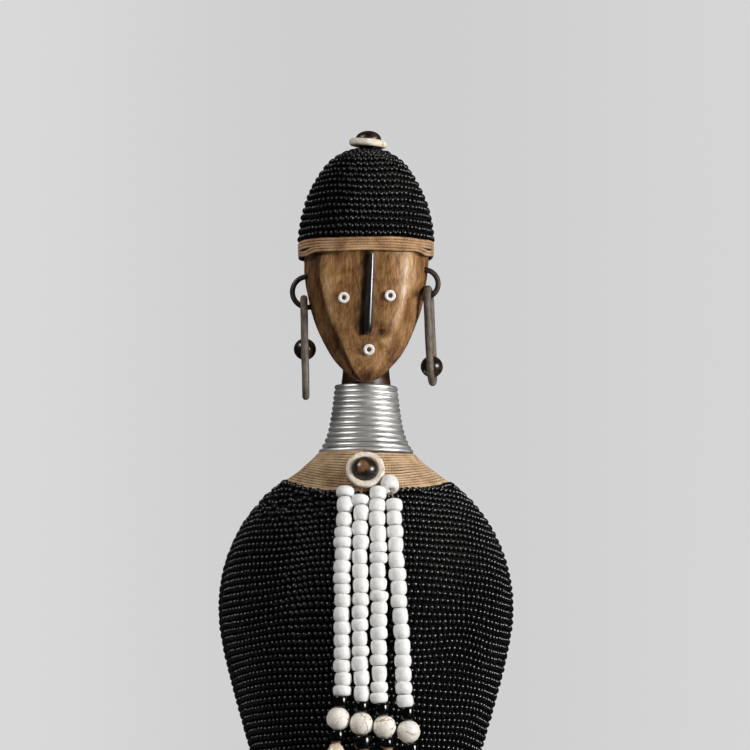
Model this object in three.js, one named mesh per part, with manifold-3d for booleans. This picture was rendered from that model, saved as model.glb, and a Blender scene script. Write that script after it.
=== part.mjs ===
import * as THREE from "three";
import Module from "manifold-3d";
import { mergeVertices } from "three/addons/utils/BufferGeometryUtils.js";

// A wrapped and beaded doll, in millimetres. It stands on z = 0, faces -Y, and its axis is the Z axis.

const wasm = await Module();
wasm.setup();

// Driving sizes
const GAP = 0.3; // kept between pieces that touch

const FOOT = { height: 8, halfWidth: 27, halfDepth: 23.5, edge: 1.2 };

const BODY = {
  hem: 162.4, // top edge of the beads, at the sides
  bottom: 8.4,
  widest: 118,
  halfWidth: 51.6,
  shoulderRise: 54, // from the widest level up to where the shoulder arc would close
  taper: 0.3, // how far the sides run in for each millimetre down
  taperRound: 15.5,
  depthRatio: 0.76, // front to back against side to side
  fade: 20, // height in which the hem's dip dies away
  skin: 2.3, // one row of beads
  sides: 24,
};

const COLLAR = {
  top: 172,
  hem: 162.1,
  radius: 16.8,
  sideSlope: 0.85,
  sideFlare: 0.036,
  frontSlope: 0.5,
  frontFlare: 0.009,
  dip: 4.9, // how much lower the hem is at front and back than at the sides
  skin: 1.1,
};

const WIRE = {
  bottom: 172.3,
  turns: 13,
  diameter: 1.85,
  topRadius: 11.1,
  coneFlare: 2.9,
  footFlare: 2.6,
  sides: 18,
};

const NECK = { topRadius: 8, top: 214, jaw: 201 };

const HEAD = {
  chin: 195.5,
  brow: 243, // the widest level
  crown: 276.8,
  halfWidth: 22,
  depth: 22,
  chinSetBack: 5,
  napeSetIn: 34,
  crownBluntness: 0.46,
  squareness: 0.6, // the head is round under the cap, and turns squarer between two heights
  squareFrom: 252,
  squareTo: 234,
  sides: 24,
};

// The flats at the sides of the face, each given at the brow and at the chin: how many degrees from the
// front it faces, and how far out it lies. The higher the edge, the sharper the face's own edge.
const SIDE_FLATS = { turn: [63, 48], reach: [0.985, 1.018], edge: 60 };

const HEADBAND = { bottom: 240.1, top: 245.4, thickness: 1.4 };
const CAP = { hem: 245.8, skin: 1.95 };
const CAP_RING = { x: 0.6, z: 280.5, radius: 5.35, halfWidth: 1.1, halfHeight: 1.25, lean: 0.12 };
const CAP_BEAD = { x: 0.8, z: 282.5, radius: 4, halfHeight: 3 };

const NOSE = {
  top: 239.9,
  bottom: 212.3,
  topX: 2.1,
  bottomX: 0.7,
  halfWidth: 1.65,
  topHalfWidth: 1,
  height: 2.5,
};
const FACE_RING = { radius: 1.95, hole: 0.8, thickness: 1.1, bevel: 0.4 };
const FACE_RING_PLACES = {
  eye_bead_left: { x: -7.6, z: 224.7 },
  eye_bead_right: { x: 8.35, z: 225.4 },
  mouth_bead: { x: 1.05, z: 206.9 },
};

const EARRING = { hoopWire: 1.85, linkWire: 2.6, beadRadius: 3.9, y: -6 };
const EARRINGS = {
  left: {
    hoopX: -20.3,
    hoopZ: 228.1,
    hoopRadius: 5.4,
    linkX: -21.7,
    length: 36.8,
    lean: 0.02,
    turn: 0,
    beadZ: 208,
  },
  right: {
    hoopX: 20.3,
    hoopZ: 231,
    hoopRadius: 4.9,
    linkX: 21.7,
    length: 35.4,
    lean: 0.044,
    turn: -0.12,
    beadZ: 201.9,
  },
};

const PENDANT = {
  x: -0.2,
  y: -26.6,
  z: 164.9,
  lean: 0.36,
  ringRadius: 5.8,
  ringHalfWidth: 1.05,
  beadRadius: 4.5,
};
const LOOSE_BEAD = { x: 8.2, y: -28, z: 160, radius: 3.2, halfHeight: 2.75 };

// The bead strings, seen from the front and counted from the left. Each one's x is given at its top,
// half way down and at the end of its white beads. Every second shell is turned edge on.
const WHITE_BEAD = { radius: 2.95, endRadius: 2, sides: 6 };
const STONE_RADIUS = 4;
const COWRIE = { length: 16, halfWidth: 4.7, halfDepth: 3.4 };
const STRINGS = [
  {
    beads: 17,
    top: 158.2,
    end: 85.9,
    x: [-7.1, -8.1, -7.9],
    stone: { x: -9.4, z: 78.1 },
    shell: { x: -10.2, top: 70.2, edgeOn: false },
  },
  {
    beads: 15,
    top: 155.1,
    end: 83.9,
    x: [-1.6, -2, -1.4],
    stone: { x: -1.5, z: 76.4 },
    shell: { x: -0.6, top: 67.6, edgeOn: true },
  },
  {
    beads: 17,
    top: 158.1,
    end: 83.4,
    x: [4.1, 4.6, 4.7],
    stone: { x: 6.4, z: 75.3 },
    shell: { x: 7.6, top: 68.1, edgeOn: false },
  },
  {
    beads: 15,
    top: 153.8,
    end: 82.1,
    x: [9.8, 11.6, 13.5],
    stone: { x: 14.6, z: 73.7 },
    shell: { x: 16.6, top: 65.1, edgeOn: true },
  },
];
const BLACK_BEAD = { radius: 2.5, wideRadius: 3.2, endRadius: 1.7, sides: 6 };
const WIDE_LOWER_BEAD = 2; // the string whose lower black bead is a wide one

// Materials
const WOOD = material(0x7d5b38, 0.55, 0);
const BLACK_GLASS = material(0x0c0c0d, 0.15, 0);
const TWINE = material(0xb48c5f, 0.9, 0);
const ALUMINIUM = material(0xb4b4b4, 0.3, 1);
const BONE = material(0xe6dccb, 0.6, 0);
const DARK_WOOD = material(0x2e2119, 0.25, 0);
const HORN = material(0x141313, 0.15, 0);
const WHITE_GLASS = material(0xf0eeeb, 0.4, 0);
const STONE = material(0xe9dfcd, 0.5, 0);
const SHELL = material(0xe8dac2, 0.3, 0);
const IRON = material(0x3d3733, 0.5, 1);
const GREY_METAL = material(0x5c564f, 0.55, 1);

function material(color, roughness, metalness) {
  return new THREE.MeshStandardMaterial({ color, roughness, metalness });
}

// Turning between three.js geometry and solids

function toSolid(geometry) {
  const bare = geometry.clone();
  bare.deleteAttribute("normal");
  bare.deleteAttribute("uv");
  const merged = mergeVertices(bare);
  return new wasm.Manifold(
    new wasm.Mesh({
      numProp: 3,
      vertProperties: new Float32Array(merged.attributes.position.array),
      triVerts: new Uint32Array(merged.index.array),
    }),
  );
}

function toGeometry(solid) {
  const mesh = solid.getMesh();
  const geometry = new THREE.BufferGeometry();
  geometry.setAttribute("position", new THREE.BufferAttribute(mesh.vertProperties, 3));
  geometry.setIndex(new THREE.BufferAttribute(mesh.triVerts, 1));
  return geometry;
}

// General shapes

// A closed skin over rings of points, listed so that each runs anticlockwise seen from the next one.
// An open stack gets an end face at each end. A looped one joins its last ring to its first.
function loft(rings, looped = false) {
  const count = rings[0].length;
  const points = rings.flat();
  const faces = [];
  const spans = looped ? rings.length : rings.length - 1;
  for (let i = 0; i < spans; i++) {
    const low = i * count;
    const high = ((i + 1) % rings.length) * count;
    for (let j = 0; j < count; j++) {
      const next = (j + 1) % count;
      faces.push(low + j, low + next, high + next, low + j, high + next, high + j);
    }
  }
  if (!looped) {
    for (const [start, isTop] of [[0, false], [(rings.length - 1) * count, true]]) {
      const middle = new THREE.Vector3();
      for (let j = 0; j < count; j++) middle.addScaledVector(points[start + j], 1 / count);
      points.push(middle);
      for (let j = 0; j < count; j++) {
        const here = start + j;
        const next = start + ((j + 1) % count);
        faces.push(points.length - 1, isTop ? here : next, isTop ? next : here);
      }
    }
  }
  const geometry = new THREE.BufferGeometry().setFromPoints(points);
  geometry.setIndex(faces);
  return geometry;
}

// An oval of points round a centre, in the plane of two unit vectors
function oval(centre, sideways, onwards, halfWidth, halfHeight, sides) {
  return Array.from({ length: sides }, (_, j) => {
    const angle = (2 * Math.PI * j) / sides;
    return centre
      .clone()
      .addScaledVector(sideways, halfWidth * Math.cos(angle))
      .addScaledVector(onwards, halfHeight * Math.sin(angle));
  });
}

function turned(profile, sides) {
  const points = profile.map(([radius, height]) => new THREE.Vector2(radius, height));
  return new THREE.LatheGeometry(points, sides).rotateX(Math.PI / 2);
}

function ellipsoid(radius, halfHeight, sides, rows) {
  const profile = Array.from({ length: rows + 1 }, (_, i) => {
    const angle = Math.PI * (i / rows - 0.5);
    return [i % rows === 0 ? 0 : radius * Math.cos(angle), halfHeight * Math.sin(angle)];
  });
  return turned(profile, sides);
}

function ringAboutZ(radius, halfWidth, halfHeight, sides, sectionSides) {
  const rings = Array.from({ length: sides }, (_, i) => {
    const angle = (2 * Math.PI * i) / sides;
    const outwards = new THREE.Vector3(Math.cos(angle), Math.sin(angle), 0);
    const centre = outwards.clone().multiplyScalar(radius);
    return oval(centre, new THREE.Vector3(0, 0, 1), outwards, halfHeight, halfWidth, sectionSides);
  });
  return loft(rings, true);
}

// A point of a surface moved out along its normal by lift. Levels rise and angles run anticlockwise.
function lifted(surface, level, angle, lift) {
  const step = 1e-3;
  const here = surface(level, angle);
  const along = surface(level, angle + step).sub(here);
  const up = surface(level + step, angle).sub(here);
  return here.addScaledVector(along.cross(up).normalize(), lift);
}

function liftedRing(surface, level, lift, sides) {
  return Array.from({ length: sides }, (_, j) => lifted(surface, level, (2 * Math.PI * j) / sides, lift));
}

// A wrap of a given thickness under a surface, open at its top and its foot
function wrap(surface, levels, innerLevels, thickness, sides) {
  const outside = levels.map((level) => liftedRing(surface, level, 0, sides));
  const inside = innerLevels.map((level) => liftedRing(surface, level, -thickness, sides)).reverse();
  return loft([...outside, ...inside], true);
}

// Runs evenly from 0 to 1 with flat ends
function smooth(share) {
  const t = Math.min(1, Math.max(0, share));
  return t * t * (3 - 2 * t);
}

function range(from, to, count) {
  return Array.from({ length: count }, (_, i) => from + ((to - from) * i) / (count - 1));
}

// The doll's own surfaces

function bodyHalfWidth(z) {
  const rise = z - BODY.widest;
  if (rise > 0) return BODY.halfWidth * Math.sqrt(1 - (rise / BODY.shoulderRise) ** 2);
  return BODY.halfWidth - BODY.taper * (Math.hypot(rise, BODY.taperRound) - BODY.taperRound);
}

// The outside of the beads. A level is a row's height at the sides, and the upper rows dip with the hem.
function bodySurface(level, angle) {
  const dip = COLLAR.dip * Math.max(0, 1 - (BODY.hem - level) / BODY.fade);
  const z = level - dip * Math.sin(angle) ** 2;
  const halfWidth = bodyHalfWidth(z);
  return new THREE.Vector3(halfWidth * Math.cos(angle), BODY.depthRatio * halfWidth * Math.sin(angle), z);
}

function collarSurface(level, angle) {
  const share = (COLLAR.top - level) / (COLLAR.top - COLLAR.hem);
  const z = level - COLLAR.dip * share * Math.sin(angle) ** 2;
  const drop = COLLAR.top - z;
  const flaring = Math.min(drop, COLLAR.top - COLLAR.hem);
  const side = COLLAR.radius + (COLLAR.sideSlope + COLLAR.sideFlare * flaring) * drop;
  const front = COLLAR.radius + (COLLAR.frontSlope + COLLAR.frontFlare * drop) * drop;
  return new THREE.Vector3(side * Math.cos(angle), front * Math.sin(angle), z);
}

function wireOuterRadius(z) {
  const down = 1 - (z - WIRE.bottom) / (WIRE.turns * WIRE.diameter);
  return WIRE.topRadius + WIRE.coneFlare * down + WIRE.footFlare * Math.max(0, down) ** 5;
}

// Half width, middle and half depth of the head at a height
function headSection(z) {
  const rise = Math.max(0, (z - HEAD.brow) / (HEAD.crown - HEAD.brow));
  const drop = Math.max(0, (HEAD.brow - z) / (HEAD.brow - HEAD.chin));
  const shrink = (1 - rise ** 2) ** HEAD.crownBluntness;
  const front = -HEAD.depth * shrink + HEAD.chinSetBack * drop ** 2;
  const back = HEAD.depth * shrink - HEAD.napeSetIn * drop ** 1.6;
  return {
    halfWidth: HEAD.halfWidth * shrink * (1 - drop ** 2) ** 0.6,
    middle: (front + back) / 2,
    halfDepth: ((back - front) / 2) * Math.sqrt(1 - drop ** 8),
    drop,
  };
}

// How far out a point of the head's section lies, where 1 is a round section
function sectionReach(cosine, sine, z, drop) {
  const { turn, reach, edge } = SIDE_FLATS;
  const square = 2 + HEAD.squareness * smooth((HEAD.squareFrom - z) / (HEAD.squareFrom - HEAD.squareTo));
  const outer = Math.abs(cosine) ** square + Math.abs(sine) ** square;
  const low = smooth((drop - 0.3) / 0.6);
  const facing = THREE.MathUtils.degToRad(turn[0] + (turn[1] - turn[0]) * low);
  const distance = reach[0] + (reach[1] - reach[0]) * low;
  const towards = Math.abs(cosine) * Math.sin(facing) - sine * Math.cos(facing);
  const fading = smooth(drop / 0.06) * smooth((0.97 - drop) / 0.17);
  const flat = fading * (Math.max(towards, 0) / distance) ** edge;
  return (outer ** (edge / square) + flat) ** (-1 / edge);
}

function headSurface(z, angle) {
  const { halfWidth, middle, halfDepth, drop } = headSection(z);
  const cosine = Math.cos(angle);
  const sine = Math.sin(angle);
  const reach = sectionReach(cosine, sine, z, drop);
  return new THREE.Vector3(halfWidth * reach * cosine, middle + halfDepth * reach * sine, z);
}

// The point of the face at x, at a height, and the way it faces
function facePlace(x, z) {
  let angle = -Math.PI;
  for (let step = Math.PI / 2; step > 1e-6; step /= 2) {
    if (headSurface(z, angle + step).x < x) angle += step;
  }
  const point = headSurface(z, angle);
  const normal = lifted(headSurface, z, angle, 1).sub(point);
  return { point, normal };
}

// How far the beaded front stands before the axis at x, at a height
function chest(x, z) {
  const halfWidth = bodyHalfWidth(z);
  return BODY.depthRatio * Math.sqrt(halfWidth ** 2 - x ** 2);
}

const BODY_LEVELS = [BODY.bottom, 35, 62, 84, 102, 118, 131, 142, 151, 157.5, BODY.hem];
const UNDER_BEADS_LEVELS = BODY_LEVELS.filter((_, i) => i % 2 === 0);
const COLLAR_LEVELS = range(COLLAR.hem, COLLAR.top - GAP, 4);
const DOME_ANGLES = [5, 22, 39, 56, 70, 82].map(THREE.MathUtils.degToRad);
const DOME_LEVELS = DOME_ANGLES.map((angle) => HEAD.brow + (HEAD.crown - HEAD.brow) * Math.sin(angle));

// The wooden figure

function headSolid(lift) {
  const drops = [0.99, 0.96, 0.9, 0.81, 0.7, 0.57, 0.42, 0.25, 0.05];
  const levels = [...drops.map((drop) => HEAD.brow - (HEAD.brow - HEAD.chin) * drop), ...DOME_LEVELS];
  return toSolid(loft(levels.map((level) => liftedRing(headSurface, level, lift, HEAD.sides))));
}

function footRing(inset, z) {
  const across = new THREE.Vector3(1, 0, 0);
  const deep = new THREE.Vector3(0, 1, 0);
  const centre = new THREE.Vector3(0, 0, z);
  return oval(centre, across, deep, FOOT.halfWidth - inset, FOOT.halfDepth - inset, BODY.sides);
}

function neckRing(radius, z) {
  const across = new THREE.Vector3(1, 0, 0);
  const deep = new THREE.Vector3(0, 1, 0);
  return oval(new THREE.Vector3(0, 0, z), across, deep, radius, radius, BODY.sides);
}

function trunkSolid() {
  const wireTop = WIRE.bottom + WIRE.turns * WIRE.diameter;
  const underWire = range(WIRE.bottom, wireTop, 4);
  const beadsLift = -BODY.skin - GAP;
  const twineLift = -COLLAR.skin - GAP;
  const underBeads = UNDER_BEADS_LEVELS.map((level) =>
    liftedRing(bodySurface, level, beadsLift, BODY.sides),
  );
  const underTwine = COLLAR_LEVELS.slice(1).map((level) =>
    liftedRing(collarSurface, level, twineLift, BODY.sides),
  );
  const rings = [
    footRing(FOOT.edge, 0),
    footRing(0, FOOT.edge),
    footRing(0, FOOT.height - FOOT.edge),
    footRing(FOOT.edge, FOOT.height),
    underBeads[0].map((point) => point.clone().setZ(FOOT.height)),
    ...underBeads,
    ...underTwine,
    ...underWire.map((z) => neckRing(wireOuterRadius(z) - WIRE.diameter - 1.5 * GAP, z)),
    neckRing(NECK.topRadius, NECK.jaw),
    neckRing(NECK.topRadius, NECK.top),
  ];
  return toSolid(loft(rings));
}

function hoop({ hoopX, hoopZ, hoopRadius }, wire) {
  return ringAboutZ(hoopRadius, wire / 2, wire / 2, 14, 5)
    .rotateX(Math.PI / 2)
    .translate(hoopX, EARRING.y, hoopZ);
}

function carvedFigure() {
  let figure = headSolid(0).add(trunkSolid());
  for (const earring of Object.values(EARRINGS)) {
    figure = figure.subtract(toSolid(hoop(earring, EARRING.hoopWire + 2 * GAP)));
  }
  return toGeometry(figure);
}

// What is wound round the figure

function headband() {
  const levels = range(HEADBAND.bottom, HEADBAND.top, 3);
  const bulge = HEADBAND.thickness / 4;
  const outside = levels.map((level, i) => {
    const lift = GAP + HEADBAND.thickness - (i === 1 ? 0 : bulge);
    return liftedRing(headSurface, level, lift, HEAD.sides);
  });
  const inside = levels.map((level) => liftedRing(headSurface, level, GAP, HEAD.sides)).reverse();
  return loft([...outside, ...inside], true);
}

// The cap's rows close on the crown, so it is a bowl turned over
function beadedCap() {
  const levels = [CAP.hem, ...DOME_LEVELS.slice(1)];
  const outside = levels.map((level) => liftedRing(headSurface, level, GAP + CAP.skin, HEAD.sides));
  const inside = levels.map((level) => liftedRing(headSurface, level, GAP, HEAD.sides));
  const below = liftedRing(headSurface, CAP.hem - 2 * CAP.skin, GAP, HEAD.sides);
  return toGeometry(toSolid(loft(outside)).subtract(toSolid(loft([below, ...inside]))));
}

function neckWire() {
  const profile = [];
  const valley = 0.3 * WIRE.diameter;
  for (let turn = 0; turn <= WIRE.turns; turn++) {
    const z = WIRE.bottom + turn * WIRE.diameter;
    profile.push([wireOuterRadius(z) - valley, z]);
    const middle = z + WIRE.diameter / 2;
    if (turn < WIRE.turns) profile.push([wireOuterRadius(middle), middle]);
  }
  const top = profile.at(-1)[1];
  for (const z of range(top, WIRE.bottom, 4)) {
    profile.push([wireOuterRadius(z) - WIRE.diameter, z]);
  }
  profile.push(profile[0]);
  return turned(profile, WIRE.sides);
}

// What is set on the head

function cutToFace(geometry) {
  return toGeometry(toSolid(geometry).subtract(headSolid(GAP)));
}

function noseStrip() {
  const length = NOSE.top - NOSE.bottom;
  const shares = [0.01, 0.04, 0.12, 0.3, 0.55, 0.8, 0.98];
  const across = new THREE.Vector3(1, 0, 0);
  const deep = new THREE.Vector3(0, 1, 0);
  const rings = shares.map((share) => {
    const z = NOSE.bottom + length * share;
    const x = NOSE.bottomX + (NOSE.topX - NOSE.bottomX) * share;
    const rounded = Math.sqrt(1 - Math.max(0, 1 - share / 0.12) ** 2);
    const narrowed = 1 - (1 - NOSE.topHalfWidth / NOSE.halfWidth) * share ** 2;
    const centre = facePlace(x, z).point;
    const size = rounded * narrowed;
    return oval(centre, across, deep, NOSE.halfWidth * size, NOSE.height * size, 10);
  });
  return cutToFace(loft(rings));
}

function faceRing() {
  const { radius, hole, thickness, bevel } = FACE_RING;
  const profile = [
    [hole, 0],
    [radius, 0],
    [radius, thickness - bevel],
    [radius - bevel, thickness],
    [hole, thickness],
    [hole, 0],
  ];
  return turned(profile, 10);
}

// The top of a link, which hangs on the low side of its hoop
function linkTop({ hoopX, hoopZ, hoopRadius, linkX }) {
  const wireZ = hoopZ - Math.sqrt(hoopRadius ** 2 - (linkX - hoopX) ** 2);
  return wireZ + EARRING.hoopWire / 2 + 2 * GAP + EARRING.linkWire;
}

function earLink(earring) {
  const { linkX, length, lean, turn } = earring;
  const halfDepth = EARRING.beadRadius + GAP + EARRING.linkWire / 2;
  const halfLength = (length - EARRING.linkWire) / 2 - halfDepth;
  const stops = range(0, Math.PI, 7);
  const outline = [
    ...stops.map((angle) => [halfDepth * Math.cos(angle), halfLength + halfDepth * Math.sin(angle)]),
    ...stops.map((angle) => [-halfDepth * Math.cos(angle), -halfLength - halfDepth * Math.sin(angle)]),
  ];
  const inwards = stops.concat(stops.map((angle) => angle + Math.PI));
  const across = new THREE.Vector3(1, 0, 0);
  const rings = outline.map(([y, z], i) => {
    const outwards = new THREE.Vector3(0, Math.cos(inwards[i]), Math.sin(inwards[i]));
    const half = EARRING.linkWire / 2;
    return oval(new THREE.Vector3(0, y, z), outwards, across, half, half, 6);
  });
  return loft(rings.reverse(), true)
    .rotateZ(turn)
    .translate(0, 0, -length / 2)
    .rotateY(-lean)
    .translate(linkX, EARRING.y, linkTop(earring));
}

// The bead strings

// The middle of a string at a height: it lies on the chest, and hangs straight below the widest level
function stringPoint(string, z) {
  const share = (string.top - z) / (string.top - string.end);
  const [first, half, last] = string.x;
  const x =
    first * (1 - share) * (1 - 2 * share) + half * 4 * share * (1 - share) + last * share * (2 * share - 1);
  const clearance = WHITE_BEAD.radius + 2 * GAP;
  return new THREE.Vector3(x, -chest(x, Math.max(z, BODY.widest)) - clearance, z);
}

// Barrel beads of one size threaded along a path, as one solid that is waisted where they meet
function threaded(path, count, shape) {
  const stops = [];
  for (let i = 0; i < count; i++) {
    stops.push([i / count, shape.endRadius]);
    stops.push([(i + 0.26) / count, shape.radius]);
    stops.push([(i + 0.74) / count, shape.radius]);
  }
  stops.push([1, shape.endRadius]);
  const rings = stops.map(([share, radius]) => {
    const along = path(share + 0.01).sub(path(share - 0.01)).normalize();
    const across = new THREE.Vector3(1, 0, 0).addScaledVector(along, -along.x).normalize();
    return oval(path(share), across, along.clone().cross(across), radius, radius, shape.sides);
  });
  return loft(rings);
}

function whiteBeads(string) {
  const fall = string.end - string.top;
  return threaded((share) => stringPoint(string, string.end - fall * share), string.beads, WHITE_BEAD);
}

function blackBead(halfHeight, radius = BLACK_BEAD.radius) {
  const { endRadius, sides } = BLACK_BEAD;
  const profile = [
    [0, -halfHeight],
    [endRadius, -halfHeight],
    [radius, -0.4 * halfHeight],
    [radius, 0.4 * halfHeight],
    [endRadius, halfHeight],
    [0, halfHeight],
  ];
  return turned(profile, sides);
}

function cowrie(edgeOn) {
  const { length, halfWidth, halfDepth } = COWRIE;
  const geometry = ellipsoid(1, length / 2, 10, 6).scale(halfWidth, halfDepth, 1);
  return edgeOn ? geometry.rotateZ(Math.PI / 2) : geometry;
}

// The whole doll

const doll = new THREE.Group();

function place(name, geometry, finish, x = 0, y = 0, z = 0) {
  const mesh = new THREE.Mesh(geometry, finish);
  mesh.name = name;
  mesh.position.set(x, y, z);
  doll.add(mesh);
  return mesh;
}

place("carved_figure", carvedFigure(), WOOD);
const beadedBody = wrap(bodySurface, BODY_LEVELS, UNDER_BEADS_LEVELS, BODY.skin, BODY.sides);
place("beaded_body", beadedBody, BLACK_GLASS);
const collarTwine = wrap(collarSurface, COLLAR_LEVELS, COLLAR_LEVELS, COLLAR.skin, BODY.sides);
place("collar_twine", collarTwine, TWINE);
place("neck_wire", neckWire(), ALUMINIUM);
place("headband_twine", headband(), TWINE);
place("beaded_cap", beadedCap(), BLACK_GLASS);

const capRing = ringAboutZ(CAP_RING.radius, CAP_RING.halfWidth, CAP_RING.halfHeight, 14, 5);
place("cap_ring", capRing, BONE, CAP_RING.x, 0, CAP_RING.z).rotation.y = CAP_RING.lean;
const capBead = ellipsoid(CAP_BEAD.radius, CAP_BEAD.halfHeight, 12, 6);
place("cap_bead", capBead, DARK_WOOD, CAP_BEAD.x, 0, CAP_BEAD.z);

place("nose_strip", noseStrip(), HORN);
for (const [name, { x, z }] of Object.entries(FACE_RING_PLACES)) {
  const { point, normal } = facePlace(x, z);
  point.addScaledVector(normal, GAP);
  const ring = place(name, faceRing(), WHITE_GLASS, point.x, point.y, point.z);
  ring.quaternion.setFromUnitVectors(new THREE.Vector3(0, 0, 1), normal);
}

for (const [side, earring] of Object.entries(EARRINGS)) {
  place("ear_hoop_" + side, hoop(earring, EARRING.hoopWire), IRON);
  place("ear_link_" + side, earLink(earring), GREY_METAL);
  const beadX = earring.linkX + (linkTop(earring) - earring.beadZ) * Math.sin(earring.lean);
  const bead = ellipsoid(EARRING.beadRadius, EARRING.beadRadius, 10, 6);
  place("ear_bead_" + side, bead, DARK_WOOD, beadX, EARRING.y, earring.beadZ);
}

const pendant = new THREE.Group();
pendant.position.set(PENDANT.x, PENDANT.y, PENDANT.z);
pendant.rotation.x = Math.PI / 2 - PENDANT.lean;
doll.add(pendant);
const pendantRing = ringAboutZ(PENDANT.ringRadius, PENDANT.ringHalfWidth, PENDANT.ringHalfWidth, 16, 5);
pendant.add(place("pendant_ring", pendantRing, BONE));
pendant.add(place("pendant_bead", ellipsoid(PENDANT.beadRadius, PENDANT.beadRadius, 12, 6), DARK_WOOD));

const looseBead = ellipsoid(LOOSE_BEAD.radius, LOOSE_BEAD.halfHeight, 8, 4);
place("loose_bead", looseBead, WHITE_GLASS, LOOSE_BEAD.x, LOOSE_BEAD.y, LOOSE_BEAD.z);

STRINGS.forEach((string, i) => {
  const { end, x, stone, shell } = string;
  const number = i + 1;
  const y = stringPoint(string, end).y;
  const stoneTop = stone.z + STONE_RADIUS;
  const stoneBottom = stone.z - STONE_RADIUS;
  const upper = blackBead((end - stoneTop) / 2 - GAP);
  const lowerRadius = number === WIDE_LOWER_BEAD ? BLACK_BEAD.wideRadius : BLACK_BEAD.radius;
  const lower = blackBead((stoneBottom - shell.top) / 2 - GAP, lowerRadius);
  const stoneBead = ellipsoid(STONE_RADIUS, STONE_RADIUS, 10, 5);
  place("white_beads_" + number, whiteBeads(string), WHITE_GLASS);
  place("upper_black_bead_" + number, upper, BLACK_GLASS, (x[2] + stone.x) / 2, y, (end + stoneTop) / 2);
  place("stone_bead_" + number, stoneBead, STONE, stone.x, y, stone.z);
  const lowerX = (stone.x + shell.x) / 2;
  place("lower_black_bead_" + number, lower, BLACK_GLASS, lowerX, y, (stoneBottom + shell.top) / 2);
  const shellZ = shell.top - COWRIE.length / 2;
  place("cowrie_" + number, cowrie(shell.edgeOn), SHELL, shell.x, y, shellZ);
});

export default doll;
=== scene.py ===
import math

import bpy
import numpy as np
from mathutils import Matrix, Vector


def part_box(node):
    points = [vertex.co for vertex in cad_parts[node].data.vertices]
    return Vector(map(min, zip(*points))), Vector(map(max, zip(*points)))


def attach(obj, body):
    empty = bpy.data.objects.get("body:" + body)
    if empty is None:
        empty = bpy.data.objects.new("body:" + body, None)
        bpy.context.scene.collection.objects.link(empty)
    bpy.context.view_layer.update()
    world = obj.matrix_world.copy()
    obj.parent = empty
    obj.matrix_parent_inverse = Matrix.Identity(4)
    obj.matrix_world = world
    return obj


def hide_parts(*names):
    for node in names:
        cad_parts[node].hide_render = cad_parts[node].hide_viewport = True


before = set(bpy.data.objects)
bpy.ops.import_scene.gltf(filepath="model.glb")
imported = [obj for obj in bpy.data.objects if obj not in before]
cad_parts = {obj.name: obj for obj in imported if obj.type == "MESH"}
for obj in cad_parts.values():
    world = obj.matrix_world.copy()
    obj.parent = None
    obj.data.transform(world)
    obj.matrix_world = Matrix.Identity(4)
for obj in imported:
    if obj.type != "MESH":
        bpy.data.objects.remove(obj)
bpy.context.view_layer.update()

# A wrapped and beaded doll. Sizes are in millimetres, and turn to metres where a mesh is made.
# It stands on z = 0 and faces -Y. Left and right are as seen from the front.
MM = 0.001
TURN = 2 * math.pi
FRONT = -math.pi / 2
GAP = 0.3

# The beaded body
HEM = 162.4
BODY_BOTTOM = 8.4
WIDEST = 118
BODY_HALF_WIDTH = 51.6
SHOULDER_RISE = 54
TAPER = 0.3
TAPER_ROUND = 15.5
DEPTH_RATIO = 0.76
HEM_DIP = 4.9
ROW_TILT = 0.11  # how far a row rises for each millimetre towards the front
LEVEL_BELOW = 45  # the rows level out below this height
SEED_RADIUS = 1.15
SEED_LENGTH = 1.96
ROW_PITCH = 2.36
STEP_SHARE = 0.08  # the part of a turn on which a row steps up to the next
HEM_ROW_DROP = 0.6
HEM_ROW_ROOM = 2.2
UNRULY_ABOVE = 143  # the rows are lost in a jumble on the left shoulder
UNRULY_LEFT_OF = -6
UNRULY_FADE = 9
BODY_SKIN = 2.3
BODY_BED_LIFT = -1.45
BED_THICKNESS = 0.5

# The foot and the neck, which are one piece of wood with the core of the body and the head
TRUNK_SIDES = 96
FOOT = {"height": 8, "half_width": 27, "half_depth": 23.5, "edge": 1.2}
NECK_RADIUS = 8
NECK_TOP = 209

# The twine collar
COLLAR_TOP = 172
COLLAR_HEM = 162.1
COLLAR_RADIUS = 16.8
COLLAR_SIDE_SLOPE = 0.85
COLLAR_SIDE_FLARE = 0.036
COLLAR_FRONT_SLOPE = 0.5
COLLAR_FRONT_FLARE = 0.009
COLLAR_TURNS = 14
COLLAR_SKIN = 1.1

# The wire round the neck
WIRE_BOTTOM = 172.3
WIRE_TURNS = 13
WIRE = 1.85
WIRE_TOP_RADIUS = 10.9
WIRE_CONE = 2.9
WIRE_FLARE = 3.1
WIRE_START = 0.25  # where the wire's lower end lies, behind on the right

# The head, its cap and its headband
CHIN = 195.5
BROW = 243
CROWN = 276.8
HEAD_HALF_WIDTH = 22
HEAD_DEPTH = 22
CHIN_SET_BACK = 5
NAPE_SET_IN = 34
CROWN_BLUNTNESS = 0.46
SQUARENESS = 1.2  # the head is round under the cap, and turns squarer from one height down to another
SQUARE_FROM = 252
SQUARE_TO = 234
# The flats at the sides of the face, at the brow and at the chin: degrees from the front, and how far out
FLAT_TURN = (70, 48)
FLAT_REACH = (0.986, 1.045)
FLAT_EDGE = 60  # the higher, the sharper the edge between the face and its side flats
HEADBAND_BOTTOM = 240.1
HEADBAND_TOP = 246.1
HEADBAND_TURNS = 5
HEADBAND_LIFT = GAP + 0.9
CAP_HEM = 245.8
CAP_SKIN = 1.95
CAP_BED_LIFT = GAP + 0.6
CAP_SEED_RADIUS = 1.15
CAP_SEED_LENGTH = 1.86
CAP_ROW_PITCH = 2.48
CAP_OPENING = 1.5  # radius left free at the crown

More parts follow.
